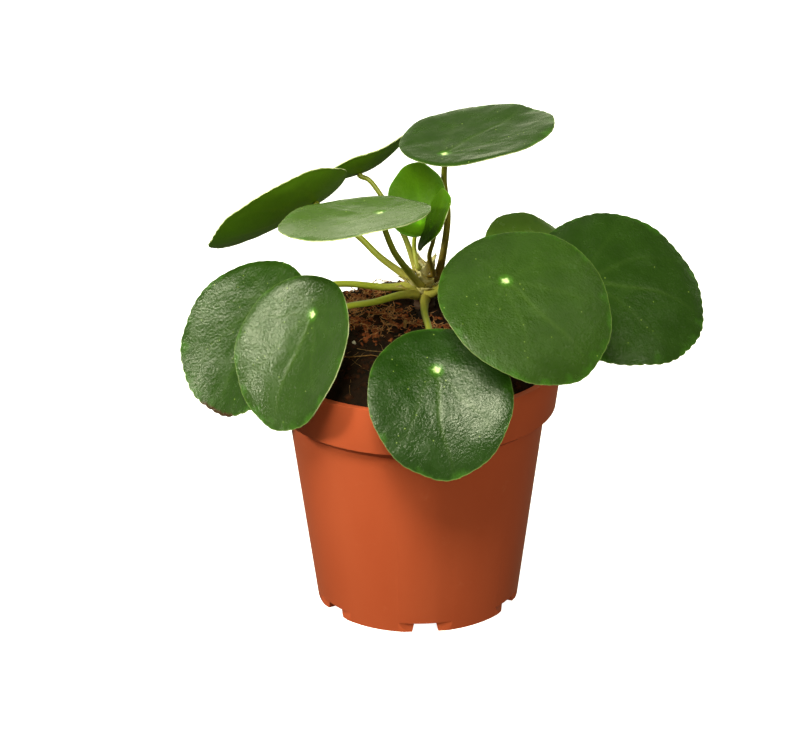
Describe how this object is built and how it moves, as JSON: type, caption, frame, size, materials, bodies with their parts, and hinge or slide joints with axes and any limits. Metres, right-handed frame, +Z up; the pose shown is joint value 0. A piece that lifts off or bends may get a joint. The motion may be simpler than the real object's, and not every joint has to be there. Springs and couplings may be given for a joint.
{
  "type": "potted plant",
  "caption": "Chinese money plant with round shield-shaped leaves on slender stalks, in a tapered plastic nursery pot filled with heaped peat.",
  "frame": {"origin": "middle of the pot's underside, on the surface that the pot stands on", "axes": "+Z up along the pot's axis; -Y is the pictured front, with the leaf that hangs over the rim; +X is the viewer's right"},
  "size_m": [0.2177, 0.1589, 0.1961],
  "materials": {
    "pot_plastic": "matte",
    "soil": "matte",
    "stem": "matte",
    "petiole": "satin",
    "leaf": "satin",
    "young_leaf": "satin"
  },
  "bodies": {
    "root": {"pot": "pot_plastic", "soil": "soil", "stem": "stem", "blade_top": "leaf", "blade_upper_left": "leaf", "blade_back_left": "leaf", "blade_back": "leaf", "blade_young_tall": "young_leaf", "blade_young_small": "young_leaf", "blade_left": "leaf", "blade_front_left": "leaf", "blade_front": "leaf", "blade_front_right": "leaf", "blade_right": "leaf", "blade_back_right": "leaf", "petiole_top": "petiole", "petiole_upper_left": "petiole", "petiole_back_left": "petiole", "petiole_back": "petiole", "petiole_young_tall": "petiole", "petiole_young_small": "petiole", "petiole_left": "petiole", "petiole_front_left": "petiole", "petiole_front": "petiole", "petiole_front_right": "petiole", "petiole_right": "petiole", "petiole_back_right": "petiole"}
  },
  "joints": []
}
